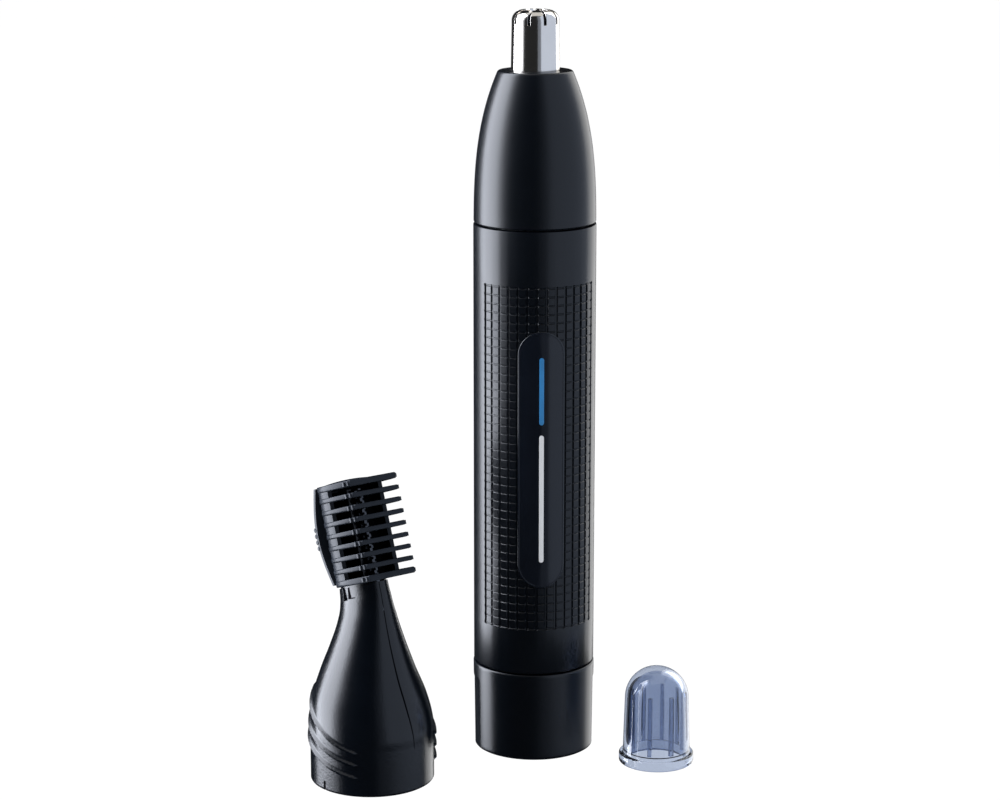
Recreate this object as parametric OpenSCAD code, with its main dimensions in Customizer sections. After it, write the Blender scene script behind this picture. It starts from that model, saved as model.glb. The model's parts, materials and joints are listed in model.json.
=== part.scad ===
// Battery nose hair trimmer with a spare eyebrow head, its comb and a clear cap.
// Origin: centre of the handle's underside. +Z up, the badge faces -Y. Millimetres.

/* [Handle] */
// Outside radius of the handle tube
handle_r = 11.05; // [11.0:0.05:11.3]
// Wall of the handle tube
handle_wall = 1.35; // [1.2:0.05:1.4]
// Height of the base cap
base_h = 16.3; // [15.8:0.1:16.4]
// Height of the seam between the handle and a head
seam_z = 97.8; // [97.6:0.1:98.0]
// Radius of the spigot that a head pushes onto
spigot_r = 9.4; // [9.2:0.05:9.42]
// Length of that spigot
spigot_len = 7.2; // [6.5:0.1:7.2]
// Half width of the badge inlaid in the front
badge_half = 4.15; // [3.5:0.05:4.5]
// Lower end of the badge
badge_z0 = 33; // [30:0.5:36]
// Upper end of the badge
badge_z1 = 80; // [76:0.5:84]

/* [Battery] */
// Radius of an AA cell
cell_r = 7.25; // [7.1:0.05:7.3]
// Length of an AA cell with its button
cell_len = 50.5; // [50:0.1:50.5]
// Height of the cell's flat end
cell_z = 9; // [9:0.1:9]

/* [Nose head] */
// Height of the cone's flat top
cone_top = 125.1; // [124.5:0.1:125.5]
// Radius of the guard tube where it leaves the cone
guard_r = 4.34; // [4.2:0.01:4.36]
// Height of the guard tube's tip
guard_top = 135.7; // [135.2:0.1:136.2]
// Number of hair slots round the guard
guard_slots = 9; // [7:1:11]
// Width of a hair slot
guard_slot_w = 0.5; // [0.3:0.02:0.6]
// Direction of the first hair slot
guard_slot_turn = -112.7; // [-125:0.1:-95]

/* [Eyebrow head] */
// Place of the eyebrow head beside the handle, along X
brow_x = -31; // [-34:0.5:-30]
// Place of the eyebrow head, along Y
brow_y = -15.5; // [-18:0.5:-10]
// Heading of the comb's teeth about Z
brow_turn = -58.4; // [-70:0.2:-50]
// Radius of the head's round foot
brow_r = 11.1; // [11.0:0.05:11.2]
// Lean of the blades and comb away from the teeth
lean = 19.2; // [19.2:0.1:19.2]
// Throw of the crank pin
crank_throw = 1.2; // [1.0:0.05:1.2]

/* [Comb] */
// Number of comb fins
fins = 9; // [9:1:9]
// Distance from one fin to the next
fin_pitch = 2.125; // [2.1:0.005:2.13]
// Half width of the fins' front edge
comb_half = 4.8; // [4.6:0.05:5.0]
// Reach of the fins from the comb's own axis
fin_reach = 19.4; // [19:0.1:19.8]
// Reach of the side walls between the fins
wall_reach = 13; // [12:0.1:15]

/* [Clear cap] */
// Place of the cap beside the handle, along X
cap_x = 21.1; // [19:0.1:26]
// Place of the cap, along Y
cap_y = -12.8; // [-16:0.1:-10]
// Number of grip ribs inside the cap
cap_ribs = 8; // [4:1:10]

/* [Hidden] */
$fn = 96;

bore_r = handle_r - handle_wall;        // inside of the handle tube
spigot_top = seam_z + spigot_len;
head_z = seam_z + 0.3;                  // underside of a fitted head
socket_r = 9.5;                         // bore of a head that runs on the spigot
carrier_r = bore_r - 0.2;
shaft_r = 1.0;
cutter_r = 1.2;
run = 0.06;                             // radial running clearance
deck_z = 60.6;                          // underside of the battery deck
motor_z0 = 66;
motor_z1 = 90;
dog_top = 110.4;                        // tip of the drive tab
tab = [3.6, 1.2];                       // section of the drive tab
slot_tab = [3.84, 1.44];                // section of the slot it turns
twist = 40;                             // turn of the base cap from off to on, in degrees

near_black = [0.07, 0.075, 0.09];
dark_grey = [0.16, 0.165, 0.18];
steel = [0.72, 0.73, 0.75];
brass = [0.80, 0.66, 0.34];
bronze = [0.62, 0.45, 0.28];

// ---- shared shapes ----
module ring(ro, ri, z0, z1) {
    translate([0, 0, z0]) difference() {
        cylinder(r = ro, h = z1 - z0);
        translate([0, 0, -1]) cylinder(r = ri, h = z1 - z0 + 2);
    }
}
module post(r, z0, z1) translate([0, 0, z0]) cylinder(r = r, h = z1 - z0);
module block(lo, hi) translate(lo) cube(hi - lo);
module turned(points) rotate_extrude() polygon(points);

function arc(x, y, r, a0, a1, n = 8) =
    [for (i = [0:n]) [x + r * cos(a0 + (a1 - a0) * i / n), y + r * sin(a0 + (a1 - a0) * i / n)]];

// round wire wound from radius r0 at z0 to r1 at z1
module coil(r0, r1, wire, z0, z1, turns) {
    n = turns * 16;
    sides = 8;
    points = [for (i = [0:n]) for (j = [0:sides - 1])
        let (t = i / n, a = 360 * turns * t, b = 360 * j / sides,
             r = r0 + (r1 - r0) * t + wire * cos(b),
             z = z0 + wire + (z1 - z0 - 2 * wire) * t + wire * sin(b))
        [r * cos(a), r * sin(a), z]];
    walls = [for (i = [0:n - 1]) for (j = [0:sides - 1])
        let (k = (j + 1) % sides)
        [i * sides + j, (i + 1) * sides + j, (i + 1) * sides + k, i * sides + k]];
    first = [for (j = [0:sides - 1]) j];
    last = [for (j = [sides - 1:-1:0]) n * sides + j];
    polyhedron(points, concat([first, last], walls));
}

// ---- handle ----
module badge_outline(grow) {
    r = badge_half + grow;
    z0 = badge_z0 + badge_half;
    z1 = badge_z1 - badge_half;
    translate([0, z0]) circle(r = r);
    translate([0, z1]) circle(r = r);
    translate([-r, z0]) square([2 * r, z1 - z0]);
}
module badge_prism(grow) {
    rotate([90, 0, 0]) linear_extrude(height = handle_r + 2) badge_outline(grow);
}
module body_shell() {
    z0 = base_h + 0.3;
    c = 0.25;
    color(near_black) difference() {
        turned([[bore_r, z0], [handle_r - c, z0], [handle_r, z0 + c], [handle_r, seam_z - c],
            [handle_r - c, seam_z], [bore_r, seam_z]]);
        intersection() {
            ring(handle_r + 1, handle_r - 0.4, badge_z0 - 2, badge_z1 + 2);
            badge_prism(0.05);
        }
        for (side = [-1, 1]) block([-1.1, side * 9.9 - 0.5, z0 - 1], [1.1, side * 9.9 + 0.5, 26.5]);
    }
}
module badge() {
    color([0.05, 0.06, 0.09]) intersection() {
        ring(handle_r + 0.08, handle_r - 0.38, badge_z0 - 2, badge_z1 + 2);
        badge_prism(0);
    }
}
module chassis() {
    color(dark_grey) difference() {
        union() {
            ring(bore_r - 0.05, 7.9, 64, seam_z - 0.2);
            ring(spigot_r, 7.9, seam_z - 1, spigot_top);
            ring(9, 3.3, motor_z1 + 0.2, 92);
            block([-1, 9, seam_z + 0.8], [1, 9.75, spigot_top - 1]);
        }
        ring(spigot_r + 1, spigot_r - 0.7, 101.2, 102.4);
    }
}
module spigot_seal() {
    color([0.1, 0.1, 0.1]) rotate_extrude() translate([9.03, 101.8]) circle(r = 0.33);
}
module battery_liner() {
    color(dark_grey) difference() {
        ring(bore_r - 0.05, cell_r + 0.3, 27, deck_z - 0.1);
        block([-bore_r, -1.7, 26], [-8.55, 1.7, deck_z + 1]);
    }
}
module battery_deck() {
    color(dark_grey) difference() {
        ring(bore_r - 0.05, 2, deck_z, 62.2);
        block([4.5, -1.7, deck_z - 1], [5.2, 1.7, 63]);
        block([-bore_r, -1.7, deck_z - 1], [-8.55, 1.7, 63]);
    }
}
module battery_cell() {
    color([0.75, 0.62, 0.3]) union() {
        post(cell_r, cell_z, cell_z + cell_len - 1.2);
        post(2.75, cell_z + cell_len - 1.3, cell_z + cell_len);
    }
}
module positive_contact() {
    color(brass) {
        post(2.2, cell_z + cell_len, deck_z);
        block([-2, -1.5, deck_z - 0.4], [5.0, 1.5, deck_z]);
        block([4.6, -1.5, deck_z - 0.4], [5.0, 1.5, 63.2]);
    }
}
module switch_strip() {
    color(brass) {
        block([-9.1, -1.5, 26.4], [-8.75, 1.5, 62.9]);
        block([-9.1, -1.5, 62.5], [-5.3, 1.5, 62.9]);
    }
}
module motor_can() {
    color(steel) difference() {
        union() {
            post(7.75, motor_z0, motor_z1);
            post(3.1, motor_z1 - 0.5, 91.8);
        }
        post(6.95, motor_z0 - 1, motor_z1 - 0.8);
        post(2.2, motor_z1 - 2, 92.5);
    }
}
module motor_end_cap() {
    color([0.9, 0.9, 0.86]) difference() {
        union() {
            post(7.6, 63.6, motor_z0);
            post(2.6, 63.2, 64);
        }
        post(shaft_r + run, 62, 67);
        for (side = [-1, 1]) block([side * 4.9 - 0.35, -1.6, 62], [side * 4.9 + 0.35, 1.6, 67]);
    }
}
module motor_terminals() {
    color(brass) for (side = [-1, 1])
        block([side * 4.9 - 0.2, -1.4, 63.25], [side * 4.9 + 0.2, 1.4, 67.2]);
}
module motor_magnets() {
    color([0.25, 0.25, 0.27]) difference() {
        ring(6.9, 5.8, 70, 86);
        block([-1.6, -8, 69], [1.6, 8, 87]);
    }
}
module motor_bush() color(bronze) ring(2.15, shaft_r + run, motor_z1 - 1.5, 92.6);

// ---- rotor ----
module motor_shaft() color(steel) post(shaft_r, 63.0, 100);
module armature() {
    color([0.55, 0.35, 0.2]) difference() {
        ring(5.4, shaft_r, 71, 85);
        for (i = [0:2]) rotate([0, 0, 120 * i]) block([3.4, -0.6, 70], [6, 0.6, 86]);
    }
}
module commutator() color(brass) ring(2.4, shaft_r, 67.6, 70.4);
module drive_dog() {
    color([0.85, 0.85, 0.82]) difference() {
        union() {
            post(2.4, 94.5, dog_top - 4);
            block([-tab[0] / 2, -tab[1] / 2, dog_top - 4.5], [tab[0] / 2, tab[1] / 2, dog_top]);
        }
        post(shaft_r, 94, 100);
    }
}

// ---- base: keyed contact carrier, and the cap that turns on it ----
module contact_carrier() {
    top = 26;
    color(dark_grey) difference() {
        union() {
            turned([[0, 2.7], [carrier_r, 2.7], [carrier_r, 10.7], [carrier_r - 0.6, 10.9],
                [carrier_r - 0.6, 12.1], [carrier_r, 12.3], [carrier_r, 19.4], [8.5, 19.4],
                [8.5, 21], [carrier_r, 21], [carrier_r, top], [cell_r + 0.35, top],
                [cell_r + 0.35, 4], [0, 4]]);
            for (side = [-1, 1])
                block([-0.9, side * 9.65 - 0.45, base_h + 0.6], [0.9, side * 9.65 + 0.45, 19]);
        }
        block([-8.0, -1.5, 4], [-7, 1.5, top + 1]);
        for (side = [-1, 1]) translate([side * 6, 0, 2]) cylinder(r = 0.9, h = 3);
    }
}
module carrier_seal() {
    color([0.1, 0.1, 0.1]) rotate_extrude() translate([9.05, 20.2]) circle(r = 0.54);
}
module spring_plate() {
    color(brass) {
        difference() {
            post(5.3, 4, 4.3);
            translate([-6, 0, 0]) post(1.1, 3, 5);
        }
        block([4, -0.85, 4], [6, 0.85, 4.3]);
        translate([6, 0, 0]) post(0.85, 2.7, 4.3);
    }
}
module battery_spring() color(steel) coil(5, 3, 0.35, 4.3, cell_z, 5);
module carrier_strip() {
    color(brass) {
        block([-7.95, -1.4, 4.0], [-7.7, 1.4, 26.3]);
        block([-7.95, -0.85, 4.0], [-6, 0.85, 4.3]);
        translate([-6, 0, 0]) post(0.85, 2.7, 4.3);
        block([-9.05, -1.4, 26.02], [-7.7, 1.4, 26.3]);
    }
}
module base_cap() {
    color(near_black) difference() {
        turned(concat([[0, 0]], arc(10.4, 0.6, 0.6, -90, 0), [[11.05, 8]],
            arc(10.85, base_h - 0.3, 0.3, 0, 90),
            [[bore_r, base_h], [bore_r, 12], [carrier_r - 0.4, 11.7], [carrier_r - 0.4, 11.3],
             [bore_r, 11], [bore_r, 1.5], [0, 1.5]]));
        // a shallow grip recess on each side
        intersection() {
            ring(12, handle_r - 0.33, 0.9, base_h - 2.9);
            block([-12, -3.2, 0], [12, 3.2, base_h]);
        }
    }
}
module switch_wiper() {
    // turned back from the contact studs while the switch is off
    color(brass) rotate([0, 0, -twist]) {
        block([-7, -1.2, 1.5], [7, 1.2, 1.9]);
        for (side = [-1, 1]) translate([side * 6, 0, 0]) post(0.6, 1.7, 2.6);
    }
}

// ---- nose head ----
function cone_r(z) = 11 - 0.00016 * pow(z - 95, 3);
module nose_cone() {
    n = 16;
    edge = 0.45;
    side = [for (i = [0:n]) let (z = head_z + (cone_top - edge - head_z) * i / n) [cone_r(z), z]];
    top_r = cone_r(cone_top - edge);
    inside = [for (i = [0:8]) let (z = 116.9 - (116.9 - spigot_top - 0.4) * i / 8) [cone_r(z) - 1.6, z]];
    color(near_black) difference() {
        turned(concat([[socket_r, head_z]], side, arc(top_r - edge, cone_top - edge, edge, 0, 90, 4),
            [[guard_r + 0.02, cone_top], [guard_r + 0.02, 122.6], [5.8, 122.6], [5.8, 116.9]],
            inside, [[socket_r, spigot_top + 0.4]]));
        block([-1.15, 9, head_z - 1], [1.15, 9.95, spigot_top + 0.4]);
    }
}
module guard_tube() {
    wall = 0.5;
    tip_r = guard_r - 0.14;
    corner = 1.9;
    zc = guard_top - corner;
    hole = 1.7;
    color(steel) difference() {
        turned(concat([[guard_r - wall, 119.6], [5.6, 119.6], [5.6, 120.4], [guard_r, 120.8],
            [guard_r, 125]],
            arc(tip_r - corner, zc, corner, 0, 90, 12), [[hole, guard_top], [hole, guard_top - wall]],
            arc(tip_r - corner, zc, corner - wall, 90, 0, 12), [[guard_r - wall, 125]]));
        for (i = [0:guard_slots - 1]) rotate([0, 0, guard_slot_turn + 360 * i / guard_slots])
            block([hole - 0.6, -guard_slot_w / 2, 132.8], [6, guard_slot_w / 2, guard_top + 1]);
    }
}
module guard_retainer() color(dark_grey) ring(5.75, 2.7, 117.0, 119.5);
module cutter_bush() color(bronze) ring(2.7, cutter_r + run, 116.8, 120.4);
module cutter_shaft() color(steel) post(cutter_r, 111.6, 129);
module cutter_blades() {
    color(steel) difference() {
        union() {
            post(2.2, 126.5, 129.5);
            intersection() {
                turned(concat([[0, 129], [3.6, 129]], arc(2.1, 133.5, 1.5, 0, 90, 8), [[0, 135]]));
                for (i = [0:2]) rotate([0, 0, 60 * i + 15]) block([-4, -0.35, 128], [4, 0.35, 136]);
            }
            post(3.6, 128.6, 129.6);
        }
        post(cutter_r, 126, 129);
    }
}
// socket that a drive tab turns, with its shaft pressed in above shaft_z
module coupling(z0, shaft_z, z1) {
    difference() {
        post(3.4, z0, z1);
        block([-slot_tab[0] / 2, -slot_tab[1] / 2, z0 - 1],
            [slot_tab[0] / 2, slot_tab[1] / 2, shaft_z - 0.5]);
        post(cutter_r, shaft_z, z1 + 1);
    }
}
module drive_socket() color([0.85, 0.85, 0.82]) coupling(106.8, 111.6, 113);
module cutter_spring() color(steel) coil(2.0, 2.0, 0.25, 113.05, 116.75, 4);

// ---- eyebrow head ----
// the head's own frame: x towards the teeth, z up
module in_head() translate([brow_x, brow_y, 0]) rotate([0, 0, brow_turn]) children();
// the blades' frame: x along the teeth, z along the comb's slide
module in_comb() in_head() rotate([0, -lean, 0]) children();

// height, centre, half length, half width and tilt of the shell's sections
brow_sections = [[7.5, 0, 11.05, 11.05, 0], [11, 0, 11.0, 10.95, 0], [15.5, -0.6, 10.35, 10.1, 0],
    [20, -1.05, 9.0, 8.35, 2], [25, -1.1, 7.4, 6.4, 7], [30, -1.2, 6.2, 4.7, 14],
    [33, -1.6, 5.9, 3.9, 18], [35.5, -2.2, 5.8, 3.6, 19.2]];

function spline(a, b, c, d, t) = 0.5 * ((2 * b) + (c - a) * t + (2 * a - 5 * b + 4 * c - d) * t * t
    + (3 * b - a - 3 * c + d) * t * t * t);
function section_at(list, u) = let (n = len(list) - 1, i = min(floor(u), n - 1), t = u - i)
    [for (k = [0:4]) spline(list[max(i - 1, 0)][k], list[i][k], list[i + 1][k], list[min(i + 2, n)][k], t)];

module brow_loft(shrink, steps, u1) {
    around = 48;
    rows = [for (i = [0:steps]) section_at(brow_sections, u1 * i / steps)];
    points = [for (s = rows) for (j = [0:around - 1])
        let (a = 360 * j / around, x = (s[2] - shrink) * cos(a))
        [s[1] + x * cos(s[4]), (s[3] - shrink) * sin(a), s[0] + x * sin(s[4])]];
    walls = [for (i = [0:steps - 1]) for (j = [0:around - 1]) let (k = (j + 1) % around)
        each [[i * around + j, (i + 1) * around + j, (i + 1) * around + k],
              [i * around + j, (i + 1) * around + k, i * around + k]]];
    foot = [for (j = [0:around - 1]) j];
    head = [for (j = [around - 1:-1:0]) steps * around + j];
    polyhedron(points, concat([foot, head], walls));
}
pivot = [3.2, 23.9];                    // lever pivot in the head's x and z
pin_z = 18.9;                           // height where the crank pin drives the lever
lever_arm = 4.5;
out_d = pivot[0] * cos(lean) + pivot[1] * sin(lean) - lever_arm;
out_s = -pivot[0] * sin(lean) + pivot[1] * cos(lean);
tongue_top = 51.1;

module blade_slot() rotate([0, -lean, 0]) block([4.2, -0.7, 26.9], [15.0, 0.95, 37]);
module lever_boss(y0, y1) {
    translate([pivot[0], y1, pivot[1]]) rotate([90, 0, 0]) cylinder(r = 2, h = y1 - y0);
}
module brow_shell() {
    color(near_black) {
        in_head() difference() {
            union() {
                post(brow_r, 0, 8);
                difference() {
                    intersection() {
                        brow_loft(0, 14, 7);
                        block([-15, -15, 7.6], [15, -0.02, 40]);
                    }
                    // the cavity, less what stands in it
                    difference() {
                        brow_loft(1.3, 12, 6.5);
                        rotate([0, -lean, 0]) block([0, -9, 27], [20, -0.7, 40]);
                        block([-4, -12, 13.9], [4, 1, 15.9]);
                        lever_boss(-12, 1);
                    }
                    blade_slot();
                }
                block([-3.9, -1, 14], [3.9, 4.4, 15.8]);
                lever_boss(-1, 0.5);
            }
            post(socket_r, -1, 7);
            post(3.7, 6, 8.2);
            post(2.2, 13, 17);
            translate([pivot[0], 2, pivot[1]]) rotate([90, 0, 0]) cylinder(r = 0.9, h = 5.5);
            block([-0.3, -12, -1], [0.3, -10.4, 1.8]);
        }
        in_comb() block([5.95, -1.7, 27.3], [12.6, -0.72, tongue_top]);
    }
}
module brow_cover() {
    color(near_black) in_head() difference() {
        intersection() {
            brow_loft(0, 14, 7);
            block([-15, 0.02, 8.05], [15, 15, 40]);
        }
        brow_loft(1.3, 12, 6.5);
        blade_slot();
    }
}
module teeth_gaps(z0, z1) {
    for (i = [0:floor(z1 - z0)]) block([13.6, -1, z0 + i], [16, 1, z0 + i + 0.45]);
}
rivets = [38, 46.5];                    // heights of the rivets along the blades
module fixed_blade() {
    color(steel) in_comb() difference() {
        block([6.0, -0.65, 29], [14.9, -0.15, 50.9]);
        for (s = rivets) translate([9.3, 1, s]) rotate([90, 0, 0]) cylinder(r = 0.8, h = 3);
        teeth_gaps(35.2, 50.2);
    }
}
module moving_blade() {
    color(steel) in_comb() difference() {
        union() {
            block([6.2, -0.1, 32], [14.6, 0.3, 50.0]);
            block([4.5, -0.1, 20.25], [8.5, 0.3, 32.5]);
        }
        for (s = rivets) block([8.35, -1, s - 1.7], [10.25, 1, s + 1.7]);
        block([out_d - 1.1, -1, out_s - 0.9], [out_d + 1.1, 1, out_s + 0.9]);
        teeth_gaps(35.7, 49.7);
    }
}
module blade_rivets() {
    color(steel) in_comb() for (s = rivets) translate([9.3, 1.25, s]) rotate([90, 0, 0]) {
        cylinder(r = 0.8, h = 1.95);
        cylinder(r = 1.3, h = 0.4);
    }
}
module blade_spring() {
    color(steel) in_comb() difference() {
        block([7.2, 0.38, 35.5], [11.4, 0.68, 49]);
        block([8.2, -1, 40.3], [10.4, 2, 44.2]);
        for (s = rivets) translate([9.3, 2, s]) rotate([90, 0, 0]) cylinder(r = 0.82, h = 3);
    }
}
module crank_bush() color(bronze) in_head() ring(2.15, cutter_r + run, 13.7, 16.1);
module crank_shaft() {
    color(steel) in_head() {
        post(cutter_r, 12.9, 16.6);
        post(2.9, 16.3, 17.2);
        translate([0, crank_throw, 0]) post(1, 17, 19.6);
    }
}
module crank_socket() color([0.85, 0.85, 0.82]) in_head() rotate([0, 0, 20]) coupling(8.4, 12.9, 13.6);
module lever_pin() {
    color(steel) in_head() translate([pivot[0], 2.35, pivot[1]]) rotate([90, 0, 0]) {
        cylinder(r = 0.88, h = 5.6);
        cylinder(r = 1.25, h = 0.4);
    }
}
module bar(a, b, w) {
    d = b - a;
    translate(a) rotate(atan2(d[1], d[0])) translate([0, -w / 2]) square([norm(d), w]);
    translate(a) circle(r = w / 2);
    translate(b) circle(r = w / 2);
}
module blade_lever() {
    out = [pivot[0] - lever_arm * cos(lean), pivot[1] - lever_arm * sin(lean)];
    color([0.85, 0.85, 0.82]) in_head() {
        translate([0, 1.9, 0]) rotate([90, 0, 0]) linear_extrude(height = 1.2) difference() {
            union() {
                bar(pivot, out, 2.6);
                bar(pivot, [0, 21.5], 2.4);
                translate(pivot) circle(r = 1.5);
                translate([-2.4, 18.2]) square([4.8, 3.8]);
            }
            translate(pivot) circle(r = 0.94);
            translate([-1.28, 18]) square([2.56, 2.7]);
        }
        translate([out[0], 1, out[1]]) rotate([90, 0, 0]) cylinder(r = 0.8, h = 1.5);
    }
}

// ---- eyebrow comb ----
comb_s0 = 35;                           // height of the lowest fin along the comb
comb_back = 5.2;
side_r = 16;                            // a fin's long bowed side
corner_r = 0.7;                         // its back corner
side_from = -102.5;                     // directions that the side faces, from the corner to the front
side_to = -67;
wall_bend = 12.4;                       // the walls between the fins bend in more, to this direction
wall_to = -60;
chamfer_faces = -137;                   // direction that the edge behind the corner faces
bow = 2.2;                              // how far the thumb plate stands off at its middle
plate_half = 3.2;

// plan of the comb, with the teeth's direction along x, drawn in from a fin's edge by inset
module comb_plan(inset, reach, bend, to) {
    faces = [cos(side_from), sin(side_from)];
    fin_side = [fin_reach - side_r * cos(side_to), -comb_half - side_r * sin(side_to)];
    side = fin_side + (side_r - bend) * faces;
    r = max(corner_r, inset + 0.1);
    corner = side + (bend - r) * faces;
    half = concat([[comb_back + inset, -1.2 + 0.4 * inset]],
        arc(corner[0], corner[1], r - inset, chamfer_faces, side_from, 3),
        arc(side[0], side[1], bend - inset, side_from, to, 9));
    intersection() {
        polygon(concat(half, [for (i = [len(half) - 1:-1:0]) [half[i][0], -half[i][1]]]));
        translate([0, -10]) square([reach, 20]);
    }
}
module thumb_plate() {
    n = 12;
    s0 = comb_s0 - 0.1;
    rise = 17.6;
    rotate([90, 0, 0]) translate([0, 0, -plate_half]) linear_extrude(height = 2 * plate_half) {
        polygon(concat(
            [for (i = [0:n]) let (t = i / n) [4.5 - bow * sin(180 * t), s0 + rise * t]],
            [for (i = [n:-1:0]) let (t = i / n) [5.2 - bow * sin(180 * t), s0 + rise * t]]));
        // ridges for the thumb
        for (i = [0:3]) let (t = 0.4 + 0.063 * i)
            translate([4.5 - bow * sin(180 * t), s0 + rise * t]) circle(r = 0.3, $fn = 16);
    }
}
module eyebrow_comb() {
    s1 = comb_s0 + fin_pitch * (fins - 1);
    fin = 0.86;
    outer_fin = 1.1;
    dome_r = 25;
    color([0.13, 0.135, 0.15]) in_comb() {
        difference() {
            union() {
                translate([0, 0, comb_s0 - outer_fin / 2])
                    linear_extrude(height = s1 - comb_s0 + outer_fin)
                        comb_plan(0.12, wall_reach, wall_bend, wall_to);
                for (i = [0:fins - 1]) {
                    t = (i == 0 || i == fins - 1) ? outer_fin : fin;
                    translate([0, 0, comb_s0 + fin_pitch * i - t / 2]) linear_extrude(height = t)
                        comb_plan(0, fin_reach, side_r, side_to);
                }
                for (s = [comb_s0, s1]) block([4.5, -2.6, s - 0.4], [7.5, 2.6, s + 0.5]);
            }
            block([5.8, -2.15, 30], [15.3, 2.15, s1 - 0.5]);
            for (i = [0:fins - 2]) translate([0, 0, comb_s0 + fin_pitch * i + fin / 2])
                linear_extrude(height = fin_pitch - fin)
                    comb_plan(0.95, wall_reach + 1, wall_bend, wall_to);
        }
        thumb_plate();
        // low dome on the top fin
        translate([11, 0, s1 + outer_fin / 2])
            turned(concat([[0, -0.2], [4.8, -0.2]], arc(0, 0.45 - dome_r, dome_r, acos(4.8 / dome_r), 90)));
    }
}

// ---- clear cap ----
module clear_cap() {
    wall = 1.0;
    dome_r = 5.8;
    dome_z = 12.1;
    color([0.85, 0.9, 0.95, 0.4]) translate([cap_x, cap_y, 0]) {
        turned(concat([[5.5, 0], [6.6, 0], [6.8, 0.25], [6.8, 1.45], [6.6, 1.75], [6.1, 1.9], [5.9, 9]],
            arc(0, dome_z, dome_r, 0, 90, 16), arc(0, dome_z, dome_r - wall, 90, 0, 16),
            [[4.95, 9], [5.1, 2.3], [5.5, 2.2]]));
        for (i = [0:cap_ribs - 1]) rotate([0, 0, 360 / cap_ribs * (i + 0.5)])
            block([4.42, -0.35, 2.6], [5.4, 0.35, 13.4]);
    }
}

body_shell();
badge();
chassis();
battery_liner();
battery_deck();
battery_cell();
positive_contact();
switch_strip();
motor_can();
motor_end_cap();
motor_terminals();
motor_magnets();
motor_bush();
spigot_seal();
motor_shaft();
armature();
commutator();
drive_dog();
contact_carrier();
carrier_seal();
spring_plate();
battery_spring();
carrier_strip();
base_cap();
switch_wiper();
nose_cone();
guard_tube();
guard_retainer();
cutter_bush();
cutter_shaft();
cutter_blades();
drive_socket();
cutter_spring();
brow_shell();
brow_cover();
fixed_blade();
blade_rivets();
blade_spring();
crank_bush();
lever_pin();
crank_shaft();
crank_socket();
blade_lever();
moving_blade();
eyebrow_comb();
clear_cap();
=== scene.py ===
"""Nose hair trimmer with its spare eyebrow head, comb and clear cap.

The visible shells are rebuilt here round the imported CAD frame, and every other node gets a
material. Lengths are in millimetres until a mesh is made."""
import bmesh
import bpy
import json
import math
from mathutils import Matrix, Vector


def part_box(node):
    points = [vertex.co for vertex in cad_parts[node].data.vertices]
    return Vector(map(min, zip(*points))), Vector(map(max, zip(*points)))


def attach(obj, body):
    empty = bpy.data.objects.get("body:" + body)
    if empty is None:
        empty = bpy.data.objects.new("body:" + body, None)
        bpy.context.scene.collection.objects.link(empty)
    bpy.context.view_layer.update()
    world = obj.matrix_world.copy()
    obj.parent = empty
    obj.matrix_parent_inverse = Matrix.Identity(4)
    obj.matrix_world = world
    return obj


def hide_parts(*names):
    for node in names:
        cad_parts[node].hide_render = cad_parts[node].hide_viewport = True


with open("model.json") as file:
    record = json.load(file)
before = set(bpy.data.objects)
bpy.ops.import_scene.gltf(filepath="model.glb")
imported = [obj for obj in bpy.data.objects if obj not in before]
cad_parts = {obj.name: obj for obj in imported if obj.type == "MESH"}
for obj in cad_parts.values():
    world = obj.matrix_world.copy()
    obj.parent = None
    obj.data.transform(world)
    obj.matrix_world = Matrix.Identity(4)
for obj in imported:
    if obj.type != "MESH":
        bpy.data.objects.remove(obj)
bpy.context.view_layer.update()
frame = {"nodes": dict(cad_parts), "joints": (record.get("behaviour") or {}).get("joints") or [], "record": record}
MM = 0.001


# ---------------------------------------------------------------- places from the frame
def low(name):
    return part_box(name)[0] / MM


def high(name):
    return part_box(name)[1] / MM


def centre(name):
    return (low(name) + high(name)) / 2


def joint(name):
    return next(j for j in frame["joints"] if j["name"] == name)


TUBE_R = high("body_shell").x
TUBE_Z0, TUBE_Z1 = low("body_shell").z, high("body_shell").z
BORE_R = TUBE_R - 1.35
SOCKET_R = 9.5            # of the sockets that the heads push onto the handle with
BADGE_Z0, BADGE_Z1 = low("badge").z, high("badge").z
BADGE_HALF = high("badge").x
CONE_Z0, CONE_Z1 = low("nose_cone").z, high("nose_cone").z
TIP_Z = high("guard_tube").z
BROW = centre("crank_bush")
SLIDE = Vector(joint("blade_slide")["axis"])
LEAN = math.acos(SLIDE.z)
HEADING = math.atan2(-SLIDE.y, -SLIDE.x)
CAP = centre("clear_cap")


# ---------------------------------------------------------------- mesh helpers
def smooth_step(t):
    t = min(1.0, max(0.0, t))
    return t * t * (3 - 2 * t)


def rounded(corners, steps=5):
    """An outline whose corners (x, y, radius) are turned into arcs."""
    out = []
    for i, (x, y, r) in enumerate(corners):
        p = Vector((x, y))
        if r == 0:
            out.append((x, y))
            continue
        a = (Vector(corners[i - 1][:2]) - p).normalized()
        b = (Vector(corners[(i + 1) % len(corners)][:2]) - p).normalized()
        half = a.angle(b) / 2
        mid = p + (a + b).normalized() * (r / math.sin(half))
        first = p + a * (r / math.tan(half)) - mid
        last = p + b * (r / math.tan(half)) - mid
        sweep = math.pi - 2 * half
        if first.x * last.y - first.y * last.x < 0:
            sweep = -sweep
        for k in range(steps + 1):
            t = sweep * k / steps
            out.append((mid.x + first.x * math.cos(t) - first.y * math.sin(t),
                        mid.y + first.x * math.sin(t) + first.y * math.cos(t)))
    return out


def ring(r, z, angles):
    return [(r * math.cos(a), r * math.sin(a), z) for a in angles]


def circle(n):
    return [2 * math.pi * i / n for i in range(n)]


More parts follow.
